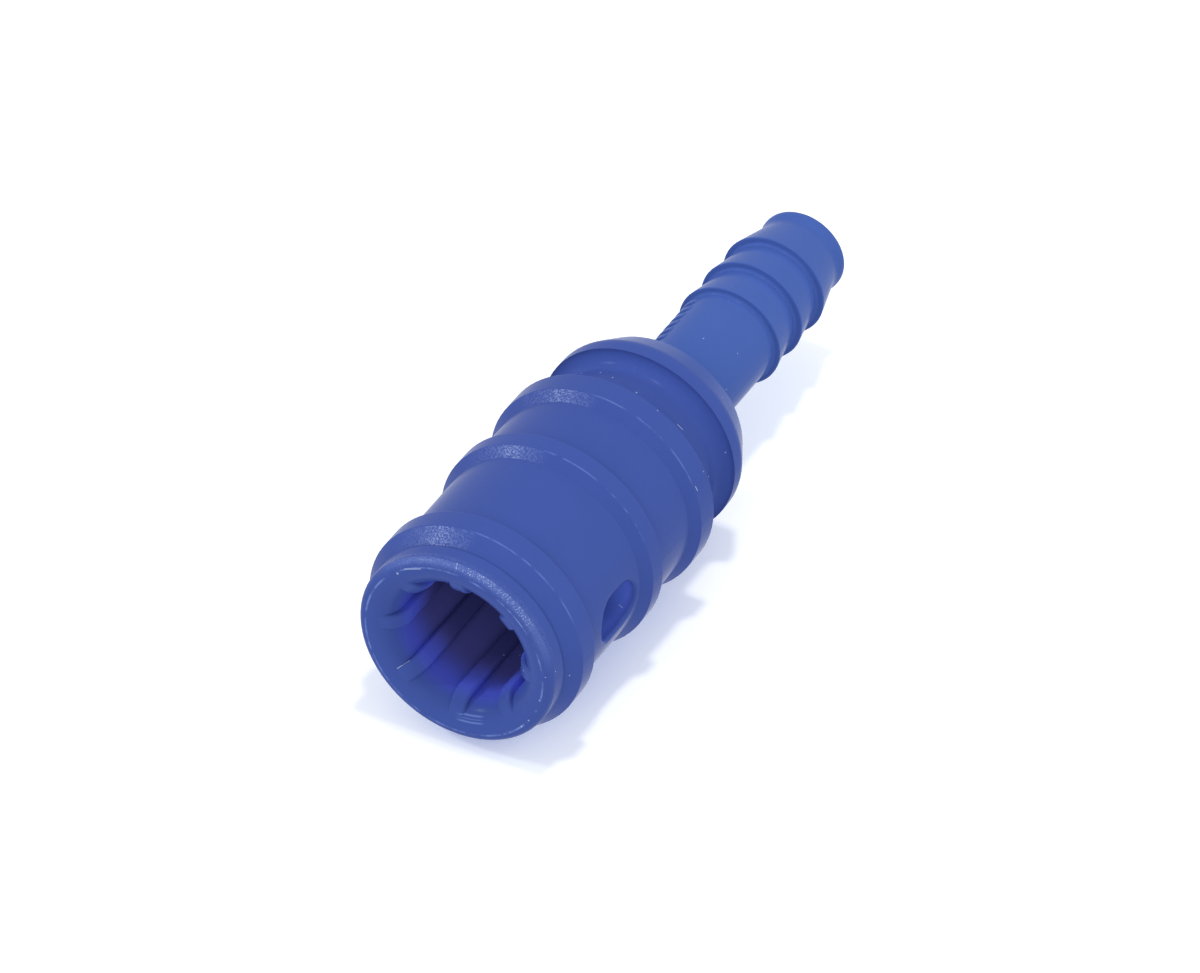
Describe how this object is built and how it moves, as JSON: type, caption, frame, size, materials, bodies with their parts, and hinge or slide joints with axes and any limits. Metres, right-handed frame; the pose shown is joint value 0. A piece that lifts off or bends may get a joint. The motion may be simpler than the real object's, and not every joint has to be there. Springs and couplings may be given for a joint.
{
  "type": "hose coupling",
  "caption": "Female quick coupling moulded in one piece: ribbed socket, ringed barrel with an oblong side window, waist, flange and a barbed hose tail.",
  "frame": {"origin": "centre of the mouth face, which is the bottom of the part as it stands", "axes": "+Z along the axis from the mouth to the hose tail, +X through the middle of the side window, -Y the side that faces up in the picture"},
  "size_m": [0.022, 0.022, 0.0671],
  "materials": {
    "blue_plastic": "satin as moulded, with fine spark-eroded grain on the ring chamfers"
  },
  "bodies": {
    "root": {"coupling_body": "blue_plastic"}
  },
  "joints": []
}
